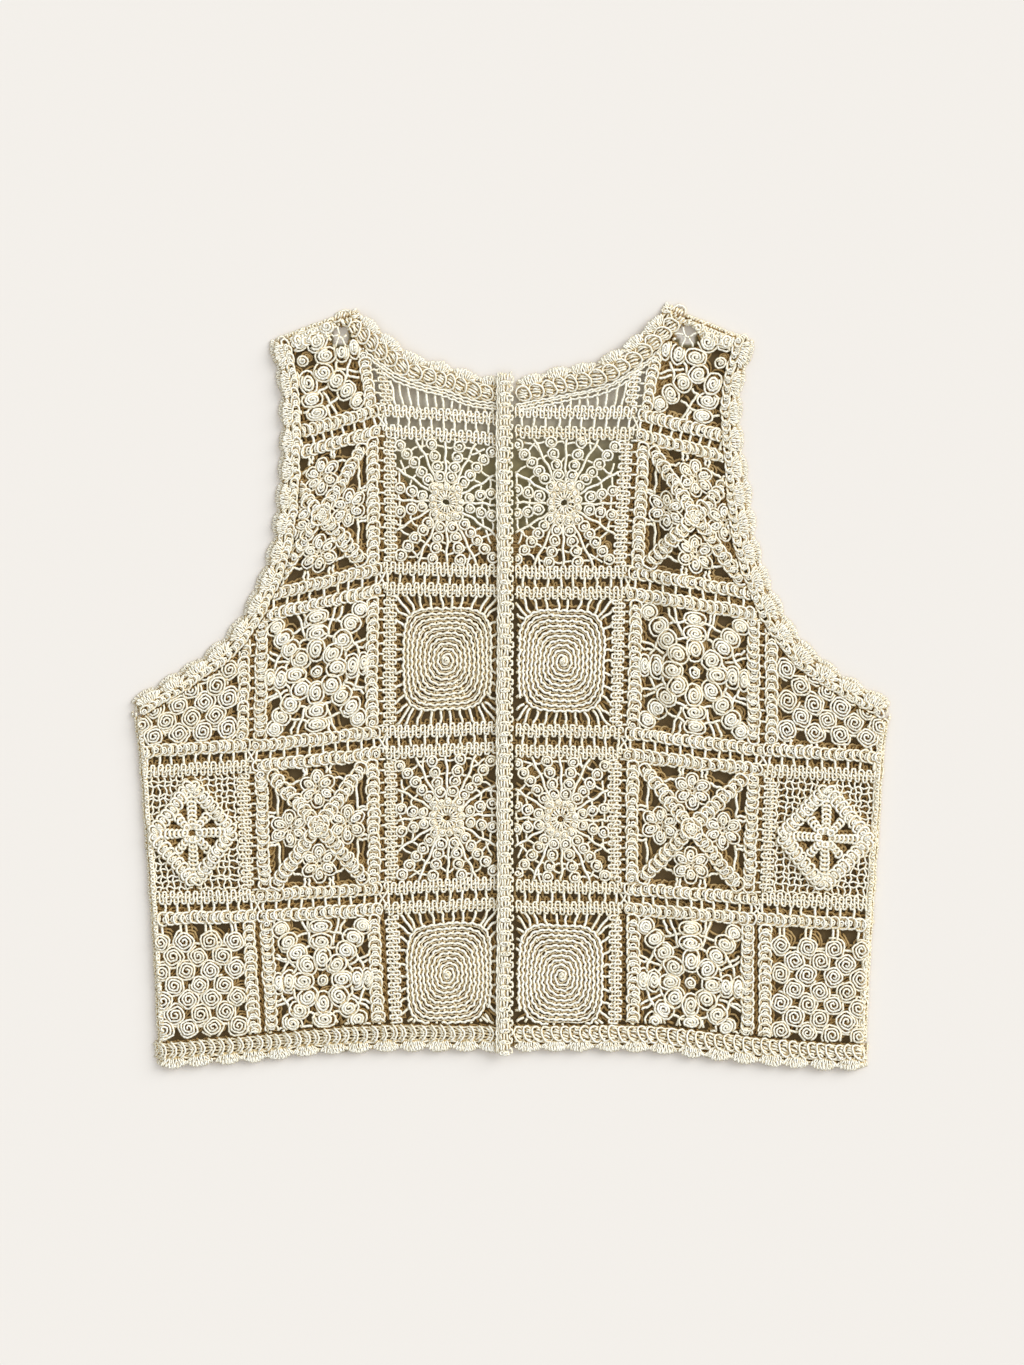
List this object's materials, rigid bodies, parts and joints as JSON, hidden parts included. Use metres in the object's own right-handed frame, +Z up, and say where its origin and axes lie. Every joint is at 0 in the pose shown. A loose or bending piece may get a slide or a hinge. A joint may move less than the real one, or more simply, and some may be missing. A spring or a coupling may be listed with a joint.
{
  "type": "sleeveless crochet cardigan",
  "caption": "Sleeveless cropped crochet cardigan of joined lace squares, laid flat, with scalloped neck, armholes and hem and a narrow centre band.",
  "frame": {"origin": "middle of the garment's outline, on the surface it lies on", "axes": "+Z up from the surface, +Y from hem to neck, +X towards the wearer's left side"},
  "size_m": [0.5204, 0.5254, 0.0103],
  "materials": {
    "crochet_cotton": "cream mercerised cotton crochet yarn, matt with a faint sheen"
  },
  "bodies": {
    "root": {"front_right": "crochet_cotton", "front_left": "crochet_cotton", "back": "crochet_cotton", "front_band": "crochet_cotton", "neck_edging_right": "crochet_cotton", "neck_edging_left": "crochet_cotton", "neck_edging_back": "crochet_cotton", "armhole_edging_front_right": "crochet_cotton", "armhole_edging_front_left": "crochet_cotton", "armhole_edging_back_right": "crochet_cotton", "armhole_edging_back_left": "crochet_cotton", "hem_edging_right": "crochet_cotton", "hem_edging_left": "crochet_cotton", "hem_edging_back": "crochet_cotton"}
  },
  "joints": []
}
